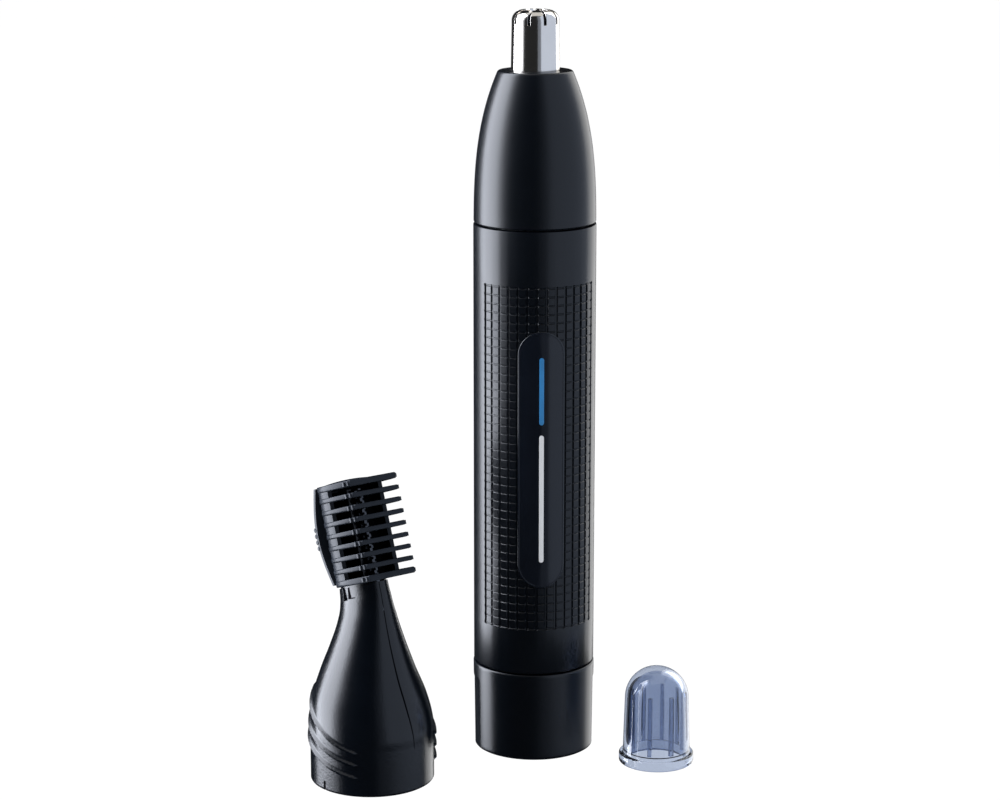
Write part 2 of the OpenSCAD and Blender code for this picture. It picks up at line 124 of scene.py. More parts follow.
def loop_solid(rings):
    """A solid whose section is a closed loop of rings: outside upwards, then inside downwards."""
    n, m = len(rings[0]), len(rings)
    verts = [p for r in rings for p in r]
    faces = []
    for i in range(m):
        k = (i + 1) % m
        for j in range(n):
            q = (j + 1) % n
            faces.append((i * n + j, i * n + q, k * n + q, k * n + j))
    return verts, faces


def turned(profile, n):
    """A solid of revolution, in n steps, of a closed outline of (radius, height)."""
    return loop_solid([ring(r, z, circle(n)) for r, z in profile])


def wall(outer, inner, present, wrap=True):
    """A wall between two grids of points, closed round every cell that is left out."""
    rows, cols = len(outer), len(outer[0])
    verts = [p for r in outer for p in r] + [p for r in inner for p in r]
    deep = rows * cols
    faces = []

    def has(i, j):
        if wrap:
            j %= cols
        elif not 0 <= j < cols - 1:
            return False
        return 0 <= i < rows - 1 and present(i, j)

    for i in range(rows - 1):
        for j in range(cols):
            if not has(i, j):
                continue
            k = (j + 1) % cols
            a, b, c, d = i * cols + j, i * cols + k, (i + 1) * cols + k, (i + 1) * cols + j
            faces.append((a, b, c, d))
            faces.append((d + deep, c + deep, b + deep, a + deep))
            sides = (((i - 1, j), b, a), ((i + 1, j), d, c), ((i, j - 1), a, d), ((i, j + 1), c, b))
            for near, p, q in sides:
                if not has(*near):
                    faces.append((p, q, q + deep, p + deep))
    return verts, faces


def prism(outline, z0, z1):
    """An extrusion of a counter-clockwise outline from z0 to z1."""
    n = len(outline)
    verts = [(x, y, z0) for x, y in outline] + [(x, y, z1) for x, y in outline]
    faces = [tuple(range(n - 1, -1, -1)), tuple(range(n, 2 * n))]
    faces += [(j, (j + 1) % n, n + (j + 1) % n, n + j) for j in range(n)]
    return verts, faces


def placed(mesh, move):
    verts, faces = mesh
    return [tuple(move @ Vector(v)) for v in verts], faces


def piece(name, meshes, look, body, replaces=(), sharp=32, bevel=None):
    """One object from one or more (verts, faces) in mm, riding on a body."""
    verts, faces = [], []
    for vs, fs in meshes:
        base = len(verts)
        verts += [Vector(v) * MM for v in vs]
        faces += [tuple(i + base for i in f) for f in fs]
    data = bpy.data.meshes.new(name)
    data.from_pydata(verts, [], faces)
    bm = bmesh.new()
    bm.from_mesh(data)
    bmesh.ops.remove_doubles(bm, verts=bm.verts, dist=1e-7)
    bmesh.ops.dissolve_degenerate(bm, dist=1e-8, edges=bm.edges)
    loose = [v for v in bm.verts if not v.link_faces]
    bmesh.ops.delete(bm, geom=loose, context="VERTS")
    bm.to_mesh(data)
    bm.free()
    obj = bpy.data.objects.new(name, data)
    bpy.context.scene.collection.objects.link(obj)
    finish_surface(obj, look, sharp, bevel)
    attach(obj, body)
    if replaces:
        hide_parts(*replaces)


def finish_surface(obj, look, sharp, bevel=None):
    """Material, smooth shading up to the angle sharp, and rounded edges of the width bevel."""
    obj.data.materials.clear()
    obj.data.materials.append(look)
    obj.data.shade_smooth()
    obj.data.set_sharp_from_angle(angle=math.radians(sharp))
    if bevel:
        edge = obj.modifiers.new("edge", "BEVEL")
        edge.width = bevel * MM
        edge.segments = 2
        edge.limit_method = "ANGLE"
        edge.angle_limit = math.radians(40)
        edge.use_clamp_overlap = True


# ---------------------------------------------------------------- materials
CLOUDS = 220.0      # per metre: the scale of the slight unevenness in gloss and colour


def node(tree, kind, **values):
    """A shader node with some of its sockets set."""
    n = tree.nodes.new(kind)
    for key, value in values.items():
        n.inputs[key].default_value = value
    return n


def material(name, color, rough, metal=0.0, grain=None, vary=0.04, tint=0.12, **sockets):
    """A principled material that varies a little in roughness (vary) and in colour (tint).

    grain is (size in mm, depth in mm) of the moulded or ground texture."""
    m = bpy.data.materials.new(name)
    m.use_nodes = True
    t = m.node_tree
    shader = t.nodes["Principled BSDF"]
    shader.inputs["Metallic"].default_value = metal
    for key, value in sockets.items():
        shader.inputs[key.replace("_", " ")].default_value = value
    place = node(t, "ShaderNodeTexCoord")
    cloud = node(t, "ShaderNodeTexNoise", Scale=CLOUDS, Detail=4.0, Roughness=0.6)
    t.links.new(place.outputs["Object"], cloud.inputs["Vector"])
    spread = node(t, "ShaderNodeMapRange", **{"To Min": rough - vary, "To Max": rough + vary})
    t.links.new(cloud.outputs["Fac"], spread.inputs["Value"])
    t.links.new(spread.outputs["Result"], shader.inputs["Roughness"])
    ramp = node(t, "ShaderNodeValToRGB")
    dark, light = ramp.color_ramp.elements
    dark.position, light.position = 0.3, 0.7
    dark.color = [c * (1 - tint) for c in color] + [1]
    light.color = [min(1, c * (1 + tint)) for c in color] + [1]
    t.links.new(cloud.outputs["Fac"], ramp.inputs["Fac"])
    t.links.new(ramp.outputs["Color"], shader.inputs["Base Color"])
    if grain:
        size, depth = grain
        fine = node(t, "ShaderNodeTexNoise", Scale=1 / (size * MM), Detail=2.0, Roughness=0.5)
        t.links.new(place.outputs["Object"], fine.inputs["Vector"])
        bump = node(t, "ShaderNodeBump", Strength=1.0, Distance=depth * MM)
        t.links.new(fine.outputs["Fac"], bump.inputs["Height"])
        t.links.new(bump.outputs["Normal"], shader.inputs["Normal"])
    return m


NEAR_BLACK = (0.0010, 0.0022, 0.0044)
BLACK = material("black_plastic", NEAR_BLACK, 0.30, grain=(0.12, 0.0008), vary=0.012, IOR=1.5)
GRAINED = material("grained_plastic", NEAR_BLACK, 0.23, grain=(0.34, 0.024), vary=0.012, IOR=1.5)
BADGE = material("badge_lacquer", (0.004, 0.006, 0.011), 0.16, grain=(0.5, 0.0006), vary=0.02,
                 IOR=1.5)
COMB = material("comb_plastic", (0.017, 0.021, 0.028), 0.24, grain=(0.30, 0.004), vary=0.015,
                IOR=1.25)
FRAME_PLASTIC = material("frame_plastic", (0.035, 0.037, 0.042), 0.45, grain=(0.2, 0.006))
ACETAL = material("acetal", (0.78, 0.77, 0.72), 0.42, grain=(0.15, 0.003), Subsurface_Weight=0.1)
CHROME = material("chrome", (0.92, 0.87, 0.80), 0.13, metal=1.0, vary=0.02, tint=0.02)
# Painted shade: this steel is much darker than bare steel, standing in for the shade the blades lie in inside the
# comb; the cutter blades in the tip share it.
SHADE_DARKENED_BLADE_STEEL = material("blade_steel", (0.13, 0.135, 0.145), 0.34, metal=1.0, grain=(0.08, 0.0015))
STEEL = material("steel", (0.56, 0.57, 0.59), 0.34, metal=1.0, grain=(0.12, 0.002))
MAGNET = material("ferrite", (0.035, 0.035, 0.038), 0.55, grain=(0.1, 0.008))
COPPER = material("copper_winding", (0.65, 0.28, 0.13), 0.3, metal=1.0, grain=(0.3, 0.03))
BRASS = material("brass", (0.78, 0.58, 0.24), 0.28, metal=1.0, grain=(0.1, 0.002))
BRONZE = material("bronze", (0.48, 0.30, 0.15), 0.46, metal=1.0, grain=(0.1, 0.008))
RUBBER = material("rubber", (0.012, 0.012, 0.012), 0.62, grain=(0.1, 0.006))
JACKET = material("cell_jacket", (0.03, 0.20, 0.12), 0.25, metal=0.4, vary=0.02)
MARK_WHITE = material("mark_white", (0.82, 0.83, 0.84), 0.35, grain=(0.1, 0.001), tint=0.03)
MARK_BLUE = material("mark_blue", (0.02, 0.22, 0.52), 0.35, grain=(0.1, 0.001))
# Tinted clear plastic. Partly painted shade: the tint's depth is set to give the darkness that dark surroundings
# give when seen through the cap's walls.
CLEAR_WITH_PAINTED_SHADE = material("clear_plastic", (0.43, 0.49, 0.62), 0.03, vary=0.015, tint=0.01,
                 IOR=1.53, Transmission_Weight=1.0, Specular_IOR_Level=0.8)
SLOT_MATERIALS = {
    "shell_plastic": BLACK, "badge_plastic": BADGE, "comb_plastic": COMB,
    "frame_plastic": FRAME_PLASTIC, "acetal": ACETAL, "chrome": CHROME,
    "blade_steel": SHADE_DARKENED_BLADE_STEEL, "steel": STEEL, "magnet": MAGNET, "copper": COPPER,
    "contact_brass": BRASS, "bush_bronze": BRONZE, "seal_rubber": RUBBER,
    "cell_jacket": JACKET, "clear_plastic": CLEAR_WITH_PAINTED_SHADE,
}


def dress_cad_nodes():
    """Every CAD node gets its slot's material and smooth shading."""
    for part in frame["record"]["subparts"]:
        look = SLOT_MATERIALS[part["material_slot"]]
        finish_surface(frame["nodes"][part["node"]], look, sharp=30)


# ---------------------------------------------------------------- handle
GRIP_COLS, GRIP_COL_PITCH = 13, 1.757
GRIP_ROWS, GRIP_ROW_PITCH = 40, 1.5625
GRIP_Z0 = TUBE_Z0 + 8.6


def pads(count, pitch, floor, slope):
    """(place, depth from 0 to 1) across a row of pads, with a groove on both sides of each."""
    out = []
    for i in range(count + 1):
        c = (i - count / 2) * pitch
        out += [(c - floor / 2 - slope, 0), (c - floor / 2, 1),
                (c + floor / 2, 1), (c + floor / 2 + slope, 0)]
        if i < count:
            out.append((c + pitch / 2, 0))
    return out


def handle_tube():
    """The tube with a pad pattern moulded into its front and back."""
    col_depth, row_depth, border = 0.26, 0.15, 0.1
    edge, edge_in, edge_up = 0.22, 0.06, 0.07
    plain = 12              # columns of each side without pads
    across = pads(GRIP_COLS, GRIP_COL_PITCH, 0.26, 0.17)
    half = across[-1][0] / TUBE_R
    gap = math.pi - 2 * half
    columns = []
    for face in (-math.pi / 2, math.pi / 2):
        columns.append((face - half - border / TUBE_R, 0, False))
        columns += [(face + u / TUBE_R, d, True) for u, d in across]
        columns.append((face + half + border / TUBE_R, 0, False))
        columns += [(face + half + gap * k / plain, 0, False) for k in range(1, plain)]
    mid = GRIP_Z0 + GRIP_ROWS * GRIP_ROW_PITCH / 2
    up = [(mid + v, d, True) for v, d in pads(GRIP_ROWS, GRIP_ROW_PITCH, 0.13, 0.13)]
    rows = [(TUBE_Z0 + edge, 0, False), (up[0][0] - border, 0, False)] + up
    rows += [(up[-1][0] + border, 0, False), (TUBE_Z1 - edge, 0, False)]
    angles = [c[0] for c in columns]
    rings = [ring(TUBE_R - edge, TUBE_Z0, angles),
             ring(TUBE_R - edge_in, TUBE_Z0 + edge_up, angles)]
    for z, dz, in_rows in rows:
        depths = [max(col_depth * dc * in_rows, row_depth * dz * in_cols)
                  for _, dc, in_cols in columns]
        rings.append([((TUBE_R - d) * math.cos(a), (TUBE_R - d) * math.sin(a), z)
                      for a, d in zip(angles, depths)])
    rings += [ring(TUBE_R - edge_in, TUBE_Z1 - edge_up, angles),
              ring(TUBE_R - edge, TUBE_Z1, angles),
              ring(BORE_R, TUBE_Z1, angles), ring(BORE_R, TUBE_Z0, angles)]
    piece("handle_tube", [loop_solid(rings)], BLACK, "handle", ["body_shell"],
          sharp=26)


def on_tube(x, z, r):
    """A point of the badge: x across the front, z up, on a cylinder of radius r."""
    return (x, -math.sqrt(r * r - x * x), z)


def capsule(half, z0, z1, n=20):
    """An upright rounded slot's outline from z0 to z1, counter-clockwise seen from the front."""
    turn = [math.pi * k / n for k in range(n + 1)]
    out = [(half * math.cos(a), z1 - half + half * math.sin(a)) for a in turn]
    return out + [(-x, z0 + z1 - z) for x, z in out]


def inlay(name, half, z0, z1, steps, look, replaces=()):
    """A panel let into the tube: steps are (inset, radius) from its hidden foot to its middle."""
    smallest = 0.001
    rows = []
    for inset, r in steps:
        outline = capsule(max(half - inset, smallest), z0 + inset, z1 - inset)
        rows.append([on_tube(x, z, r) for x, z in outline])
    n = len(rows[0])
    verts = [p for row in rows for p in row]
    faces = []
    for i in range(len(rows) - 1):
        for j in range(n):
            k = (j + 1) % n
            faces.append((i * n + j, i * n + k, (i + 1) * n + k, (i + 1) * n + j))
    faces.append(tuple(range(n - 1, -1, -1)))
    piece(name, [(verts, faces)], look, "handle", replaces)


def badge():
    """The inlaid panel with a raised rim, and the two plain stripes on it."""
    r = TUBE_R
    rim_w, field, proud = 0.28, r + 0.03, r + 0.08
    steps = [(0, r - 0.3), (0, field), (0.06, proud), (0.22, proud), (rim_w, field)]
    steps += [(rim_w + k * (BADGE_HALF - rim_w) / 5, field) for k in range(1, 6)]
    inlay("badge_panel", BADGE_HALF, BADGE_Z0, BADGE_Z1, steps, BADGE, ["badge"])
    length = BADGE_Z1 - BADGE_Z0
    half, skin = 0.42, r + 0.05
    steps = [(0, r - 0.1), (0, r + 0.035), (0.03, skin), (0.2, skin), (half, skin)]
    for name, look, a, b in (("badge_stripe_lower", MARK_WHITE, 0.10, 0.60),
                             ("badge_stripe_upper", MARK_BLUE, 0.64, 0.90)):
        inlay(name, half, BADGE_Z0 + a * length, BADGE_Z0 + b * length, steps, look)


def twist_base():
    """The base cap with a shallow grip recess on each side."""
    top, top_r = high("base_cap").z, high("base_cap").x
    foot_r, floor = top_r - 0.16, 1.5
    sides = (0, math.pi)
    near, far = math.radians(17.3), math.radians(18.4)      # the recess's wall slopes between them
    depth = 0.14
    recess_z0, recess_z1 = 0.1, top - 2.9
    plain = 44              # columns between the recesses
    edge = [near, near + 0.005, (near + far) / 2, far - 0.005, far]
    angles = [s * a + c for c in sides for s in (-1, 1) for a in edge]
    angles += [c + a for c in sides for a in (-0.18, -0.09, 0, 0.09, 0.18)]
    angles += [c + far + (math.pi - 2 * far) * k / plain for c in sides for k in range(1, plain)]
    angles.sort()
    outside = [(foot_r - 0.55, 0.0), (foot_r - 0.3, 0.04), (foot_r - 0.12, 0.15),
               (foot_r - 0.02, 0.35)]
    outside += [(foot_r + (top_r - foot_r) * k / 40, 0.6 + (top - 0.9) * k / 40) for k in range(41)]
    outside += [(top_r - 0.05, top - 0.12), (top_r - 0.16, top - 0.03), (top_r - 0.3, top)]
    rings = []
    for r, z in outside:
        rim = smooth_step((z - recess_z0) / 0.3) * smooth_step((recess_z1 - z) / 0.4)
        row = []
        for a in angles:
            off = min(abs(math.remainder(a - c, 2 * math.pi)) for c in sides)
            cut = depth * rim * (1 - smooth_step((off - near) / (far - near)))
            row.append(((r - cut) * math.cos(a), (r - cut) * math.sin(a), z))
        rings.append(row)
    snap = BORE_R - 0.6     # of the bead inside that holds the base
    inside = ((BORE_R, top), (BORE_R, 12), (snap, 11.7), (snap, 11.3), (BORE_R, 11),
              (BORE_R, floor), (0, floor), (0, 0))
    rings += [ring(r, z, angles) for r, z in inside]
    piece("twist_base", [loop_solid(rings)], BLACK, "base", ["base_cap"], sharp=40)


# ---------------------------------------------------------------- nose head
def ogive(z):
    """The nose cone's radius at a height."""
    return 11 - 0.00016 * (z - 95) ** 3


def nose_cone():
    top_r, lip_z = ogive(CONE_Z1), CONE_Z1 - 1.2
    hole, thick = 4.37, 1.6
    seat_r, seat_z0, seat_z1 = 5.8, 116.9, 122.6     # of the guard tube's flange
    deck = high("chassis").z + 0.4
    rise = CONE_Z1 - 0.9 - CONE_Z0
    side = [(ogive(z), z) for z in (CONE_Z0 + 0.2 + rise * k / 40 for k in range(41))]
    lip = rounded([(ogive(lip_z), lip_z, 0), (top_r, CONE_Z1, 0.55), (hole, CONE_Z1, 0)])[1:-1]
    heights = [seat_z0 - (seat_z0 - deck) * k / 10 for k in range(11)]
    profile = [(ogive(CONE_Z0) - 0.2, CONE_Z0)] + side + lip
    profile += [(hole + 0.15, CONE_Z1), (hole, CONE_Z1 - 0.15), (hole, seat_z1),
                (seat_r, seat_z1), (seat_r, seat_z0)]
    profile += [(ogive(z) - thick, z) for z in heights] + [(SOCKET_R, deck), (SOCKET_R, CONE_Z0)]
    piece("nose_cone_shell", [turned(profile, 192)], BLACK, "nose_head", ["nose_cone"])


SLOTS = 9
SLOT_W = 0.5
SLOT_FIRST = math.radians(-112.7)


def guard():
    """The bright guard tube: hair slots run over its rounded shoulder to the open middle."""
    foot_r, tip_r, corner, hole, thick = 4.34, 4.2, 1.9, 1.7, 0.45
    straight, start = 125, 133.2        # where the tube begins to taper, and the slots begin
    per = 14                            # points of a row between two slots
    zc = TIP_Z - corner
    quarter = [math.pi / 2 * k / 14 for k in range(15)]
    outer = [(5.6, 119.6), (5.6, 120.4), (foot_r, 120.8), (foot_r, straight)]
    outer += [(foot_r + (tip_r - foot_r) * k / 6, straight + (start - straight) * k / 6)
              for k in range(1, 7)]
    first = len(outer) - 1
    outer += [(tip_r, start + 0.35)]
    outer += [(tip_r - corner + corner * math.cos(a), zc + corner * math.sin(a)) for a in quarter]
    outer += [(hole + 0.06, TIP_Z)]
    r = corner - thick
    inner = [(foot_r - thick, z) for _, z in outer[:first]]
    inner += [(tip_r - thick, start), (tip_r - thick, start + 0.35)]
    inner += [(tip_r - corner + r * math.cos(a), zc + r * math.sin(a)) for a in quarter]
    inner += [(hole, TIP_Z - thick)]

    def row(r, z):
        out = []
        for s in range(SLOTS):
            half = math.asin(min(0.9, SLOT_W / 2 / max(r, 0.5)))
            a0 = SLOT_FIRST + 2 * math.pi * s / SLOTS + half
            span = 2 * math.pi / SLOTS - 2 * half
            out += ring(r, z, [a0 + span * k / (per - 1) for k in range(per)])
        return out

    def present(i, j):
        return i < first or j % per != per - 1

    mesh = wall([row(r, z) for r, z in outer], [row(r, z) for r, z in inner], present)
    piece("guard_shell", [mesh], CHROME, "nose_head", ["guard_tube"], bevel=0.04)


# ---------------------------------------------------------------- eyebrow head
IN_HEAD = Matrix.Translation((BROW.x, BROW.y, 0)) @ Matrix.Rotation(HEADING, 4, "Z")
IN_COMB = IN_HEAD @ Matrix.Rotation(-LEAN, 4, "Y")
# height, centre, half length, half width, tilt in degrees
SECTIONS = [(0, 0, 11.1, 11.1, 0), (8, 0, 11.1, 11.1, 0), (11, 0, 11.0, 10.95, 0),
            (15.5, -0.6, 10.35, 10.1, 0), (20, -1.05, 9.0, 8.35, 2), (25, -1.1, 7.4, 6.4, 7),
            (30, -1.2, 6.2, 4.7, 14), (33, -1.6, 5.9, 3.9, 18), (35.5, -2.2, 5.8, 3.6, 19.2)]
DECK_Z = 8          # top of the socket that pushes onto the handle
PLUG_Z, PLUG_TOP = 31.5, 34.42
SEAM = 0.010        # half of the gap between the shell's halves, in radians
RIDGES = ((8.05, 6.7), (5.85, 5.4), (3.5, 4.9))     # start height and rise of each ridge
RIDGE_A0, RIDGE_A1 = math.radians(48), math.radians(150)
RIDGE_SWEEP = math.radians(79)                      # over which a ridge rises by its rise
RIDGE_HALF, RIDGE_OUT = 0.46, 0.5
SLIT = math.radians(-85)
# angle and half width in radians, foot, top, depth, how round the foot is
POCKETS = ((SLIT, 0.024, -1, 1.8, 1.1, 0.0),
           (math.radians(-96.5), 0.12, 33.2, 36, 1.1, 0.5),
           (math.radians(-78), 0.15, 33.6, 36, 0.35, 0.0))


def spline(a, b, c, d, t):
    """A curve through b and c, at t from 0 to 1 between them."""
    return 0.5 * (2 * b + (c - a) * t + (2 * a - 5 * b + 4 * c - d) * t * t
                  + (3 * b - a - 3 * c + d) * t ** 3)


def section(z):
    """Centre, half length, half width and tilt of the shell at a height."""
    n = len(SECTIONS) - 1
    i = max(k for k in range(n) if SECTIONS[k][0] <= z)
    t = (z - SECTIONS[i][0]) / (SECTIONS[i + 1][0] - SECTIONS[i][0])
    if i == 0:
        return SECTIONS[0][1:]
    near = [SECTIONS[max(0, min(n, i + k))] for k in (-1, 0, 1, 2)]
    return [spline(*[s[c] for s in near], t) for c in range(1, 5)]


def ridge(a, z):
    """How far the three slanting ridges stand out at an angle and height, alike on both sides."""
    side = abs(math.remainder(a, 2 * math.pi))
    ends = smooth_step((side - RIDGE_A0) / 0.07) * smooth_step((RIDGE_A1 - side) / 0.14)
    if ends == 0:
        return 0.0
    t = max(0.0, (side - RIDGE_A0) / RIDGE_SWEEP) ** 1.25
    out = max(1 - smooth_step(abs(z - (start + rise * t)) / RIDGE_HALF) for start, rise in RIDGES)
    return RIDGE_OUT * out * ends


def front_seam(a, z):
    """The angle of the front parting line's two edges: its gap widens with the height."""
    if abs(math.sin(a)) < SEAM * 1.01 and abs(a) < 1:
        return math.copysign(0.006 + 0.012 * smooth_step((z - 6) / 14), a)
    return a


def seam_lean(a, z):
    """The front parting line leans: its columns turn with the height, and the others stay."""
    at_foot, per_mm, foot_z, reach = 7.5, 0.56, 8, 0.9
    return math.radians(at_foot - per_mm * (z - foot_z)) * max(0.0, 1 - abs(a) / reach) ** 2


def pocket(a, z, at, half, z0, z1, depth, sag):
    """The depth of a shallow pocket in the shell at an angle and height."""
    off = abs(math.remainder(a - at, 2 * math.pi))
    if off > half:
        return 0.0
    foot = z0 + sag * (1 - math.sqrt(1 - (off / half) ** 2))
    return depth if foot <= z <= z1 else 0.0


def brow_point(a, z, shrink=0.0, detail=True):
    """A point of the shell: its outside with all detail, or drawn in by shrink."""
    cx, length, width, tilt = section(z)
    a = front_seam(a, z)
    a += seam_lean(a, z)
    push = -shrink
    if detail:
        push += ridge(a, z)
        for hollow in POCKETS:
            push -= pocket(a, z, *hollow)
    x = (length + push) * math.cos(a)
    y = (width + push) * math.sin(a)
    tilt = math.radians(tilt)
    return (cx + x * math.cos(tilt), y, z + x * math.sin(tilt))


def brow_angles():
    """Columns of the housing, with extra ones at the key slit, and of the cover."""
    n = 150
    cover = [SEAM, 0.034] + [math.pi * k / n for k in range(2, n)] + [math.pi - SEAM]
    slit = [SLIT + s for s in (-0.027, -0.022, 0.022, 0.027)]
    return sorted(set([a - math.pi for a in cover] + slit)), cover


def brow_shells():
    """The eyebrow head's two halves, parted in the plane of its blades above the socket."""
    housing, cover = brow_angles()
    angles = housing + cover
    split = len(housing)
    thick = 1.3
    heights = [0.0, 0.12, 0.3] + [0.5 + 0.15 * k for k in range(106)]
    heights += [16.4 + (32 - 16.4) * k / 21 for k in range(1, 22)]
    heights += [32 + 0.2 * k for k in range(1, 18)]
    heights = sorted(set(heights + [1.78, 1.82, 7.99, 8.01]))
    parted = heights.index(7.99)

    def outer_row(z):
        edge = {0.0: 0.3, 0.12: 0.1}.get(z, 0.0)
        return [brow_point(a, z, edge) for a in angles]

    def inner_row(z):
        if z < DECK_Z:
            return ring(SOCKET_R, z, angles)
        return [brow_point(a, z, thick, detail=False) for a in angles]

    def in_housing(i, j):
        return i < parted or j < split - 1

    def in_cover(i, j):
        return i > parted and split <= j < len(angles) - 1

    outer = [outer_row(z) for z in heights]
    inner = [inner_row(z) for z in heights]
    hole, rim = 3.7, SOCKET_R + 0.2
    deck = turned([(hole, DECK_Z - 1), (rim, DECK_Z - 1), (rim, DECK_Z), (hole, DECK_Z)], 96)
    block = prism([(-3.9, -9), (3.9, -9), (3.9, 4.4), (-3.9, 4.4)], 14, 15.8)
    half_oval = [(9.6 + 5.5 * math.cos(a), 3.4 * math.sin(a))
                 for a in [math.radians(-180 + 6 * k) for k in range(31)]]
    near_plug = [(x, min(y, -0.72)) for x, y in half_oval]
    far_plug = [(x, max(-y, 0.95)) for x, y in reversed(half_oval)]
    x0, x1, y0, y1 = 5.95, 12.6, -1.7, -0.72        # the tongue that carries the fixed blade
    tongue = prism(rounded([(x0, y0, 0.3), (x1, y0, 0.3), (x1, y1, 0), (x0, y1, 0)]), 30, 51.1)
    parts = [placed(mesh, IN_HEAD) for mesh in (wall(outer, inner, in_housing), deck, block)]
    parts += [placed(prism(near_plug, PLUG_Z, PLUG_TOP), IN_COMB), placed(tongue, IN_COMB)]
    piece("brow_housing", parts, GRAINED, "brow_head", ["brow_shell"], sharp=35)
    parts = [placed(wall(outer, inner, in_cover), IN_HEAD),
             placed(prism(far_plug, PLUG_Z, PLUG_TOP), IN_COMB)]
    piece("brow_side_cover", parts, GRAINED, "brow_head", ["brow_cover"], sharp=35)


# ---------------------------------------------------------------- comb
# In its own frame, the comb's teeth point along x and its fins are stacked along z.
FINS, FIN_PITCH, COMB_S0 = 9, 2.125, 35
FIN_REACH, COMB_HALF, COMB_BACK, WALL_REACH = 19.4, 4.8, 5.2, 13
SIDE_R, WALL_BEND, CORNER_R = 16, 12.4, 0.7
CHAMFER, SIDE_FROM, SIDE_TO = math.radians(-137), math.radians(-102.5), math.radians(-67)
WAY_X0, WAY_X1, WAY_HALF = 5.8, 15.3, 2.15          # of the way for the blades


def arc(mid, r, a0, a1, n):
    turn = [a0 + (a1 - a0) * k / n for k in range(n + 1)]
    return [(mid.x + r * math.cos(a), mid.y + r * math.sin(a)) for a in turn]


def comb_half(inset, bend=SIDE_R, reach=None):
    """One side of a fin's plan, from the back to its front corner.

    A wall's side has the smaller radius bend and ends at reach."""
    faces = Vector((math.cos(SIDE_FROM), math.sin(SIDE_FROM)))
    side = Vector((FIN_REACH - SIDE_R * math.cos(SIDE_TO), -COMB_HALF - SIDE_R * math.sin(SIDE_TO)))
    side += (SIDE_R - bend) * faces
    r = max(CORNER_R, inset + 0.1)
    end = -math.acos((reach - side.x) / (bend - inset)) if reach else SIDE_TO
    return ([(COMB_BACK + inset, -1.2 + 0.4 * inset)]
            + arc(side + (bend - r) * faces, r - inset, CHAMFER, SIDE_FROM, 5)
            + arc(side, bend - inset, SIDE_FROM, end, 16)[1:])


def fin_outline(inset):
    """A fin's outline, drawn in by inset, with small rounds at its front corners."""
    half = [(min(x, FIN_REACH - inset), y, 0) for x, y in comb_half(inset)]
    half[-1] = (FIN_REACH - inset, half[-1][1], 0.22)
    front = [(FIN_REACH - inset, half[-1][1] * k / 3, 0) for k in (2, 1, 0, -1, -2)]
    return rounded(half + front + [(x, -y, r) for x, y, r in reversed(half)], steps=4)


def on_blade_way(x, y):
    """The point of the blade way's edge on the same ray from its middle."""
    mid, reach = (WAY_X0 + WAY_X1) / 2, (WAY_X1 - WAY_X0) / 2
    scale = 1 / max(abs(x - mid) / reach, abs(y) / WAY_HALF)
    return (mid + (x - mid) * scale, y * scale)


def fin(s, thick, closed=False):
    """One fin with rounded edges at the height s; the closed top one carries a low dome."""
    edge = 0.17
    turn = [math.pi / 2 * k / 3 for k in range(4)]
    steps = [(edge * (1 - math.sin(a)), -thick / 2 + edge * (1 - math.cos(a))) for a in turn]
    steps += [(inset, -z) for inset, z in reversed(steps)]
    rings = [[(x, y, s + z) for x, y in fin_outline(inset)] for inset, z in steps]
    top = fin_outline(edge)
    if not closed:
        way = [on_blade_way(x, y) for x, y in top]
        rings += [[(x, y, s + z) for x, y in way] for z in (thick / 2, -thick / 2)]
        return loop_solid(rings)
    middle, dome_r, rise = 11, 4.8, 0.45
    bearings = [math.atan2(y, x - middle) for x, y in top]
    for k in range(11):
        r = dome_r * (1 - k / 10)
        z = s + thick / 2 + rise * (1 - (r / dome_r) ** 2)
        rings.append([(middle + r * math.cos(a), r * math.sin(a), z) for a in bearings])
    rings.append([(middle, 0, s - thick / 2)] * len(bearings))
    return loop_solid(rings)


def thumb_plate():
    """The bowed plate at the comb's back, with four ridges across it for the thumb."""
    foot, rise, bow, half = COMB_S0 - 0.1, 17.6, 2.2, 3.2
    rows = [k / 28 for k in range(29)]
    across = [(half, 0.3), (half - 0.06, 0.35), (half - 0.3, 0.35)]
    across += [(half * k / 4, 0.35) for k in (2, 0, -2)] + [(-q, th) for q, th in reversed(across)]

    def middle(t):
        return 4.85 - bow * math.sin(math.pi * t)

    outer = [[(middle(t) - th, q, foot + rise * t) for q, th in across] for t in rows]
    inner = [[(middle(t) + th, q, foot + rise * t) for q, th in across] for t in rows]
    meshes = [wall(outer, inner, lambda i, j: True, wrap=False)]
    rod = turned([(0, -3.3), (0.3, -3.3), (0.42, -3.18), (0.42, 3.18), (0.3, 3.3), (0, 3.3)], 16)
    across_plate = Matrix.Rotation(math.pi / 2, 4, "X")
    for k in range(4):
        t = 0.4 + 0.063 * k
        at = Matrix.Translation((middle(t) - 0.35, 0, foot + rise * t))
        meshes.append(placed(rod, at @ across_plate))
    return meshes


def fin_pads():
    """Two small flat pads on each side of every fin, behind its front corner."""
    half, proud, sunk, half_height = 0.27, 0.2, 0.5, 0.36
    (x0, y0), (x1, y1) = comb_half(0)[-2:]
    bars = []
    for back in (0.65, 1.45):
        x = FIN_REACH - back
        y = y1 + (x - x1) * (y1 - y0) / (x1 - x0)
        bar = rounded([(x - half, y - proud, 0.05), (x + half, y - proud, 0.05),
                       (x + half, y + sunk, 0), (x - half, y + sunk, 0)], steps=2)
        bars += [bar, [(u, -v) for u, v in reversed(bar)]]
    return [prism(bar, s - half_height, s + half_height) for bar in bars
            for s in (COMB_S0 + FIN_PITCH * i for i in range(FINS))]


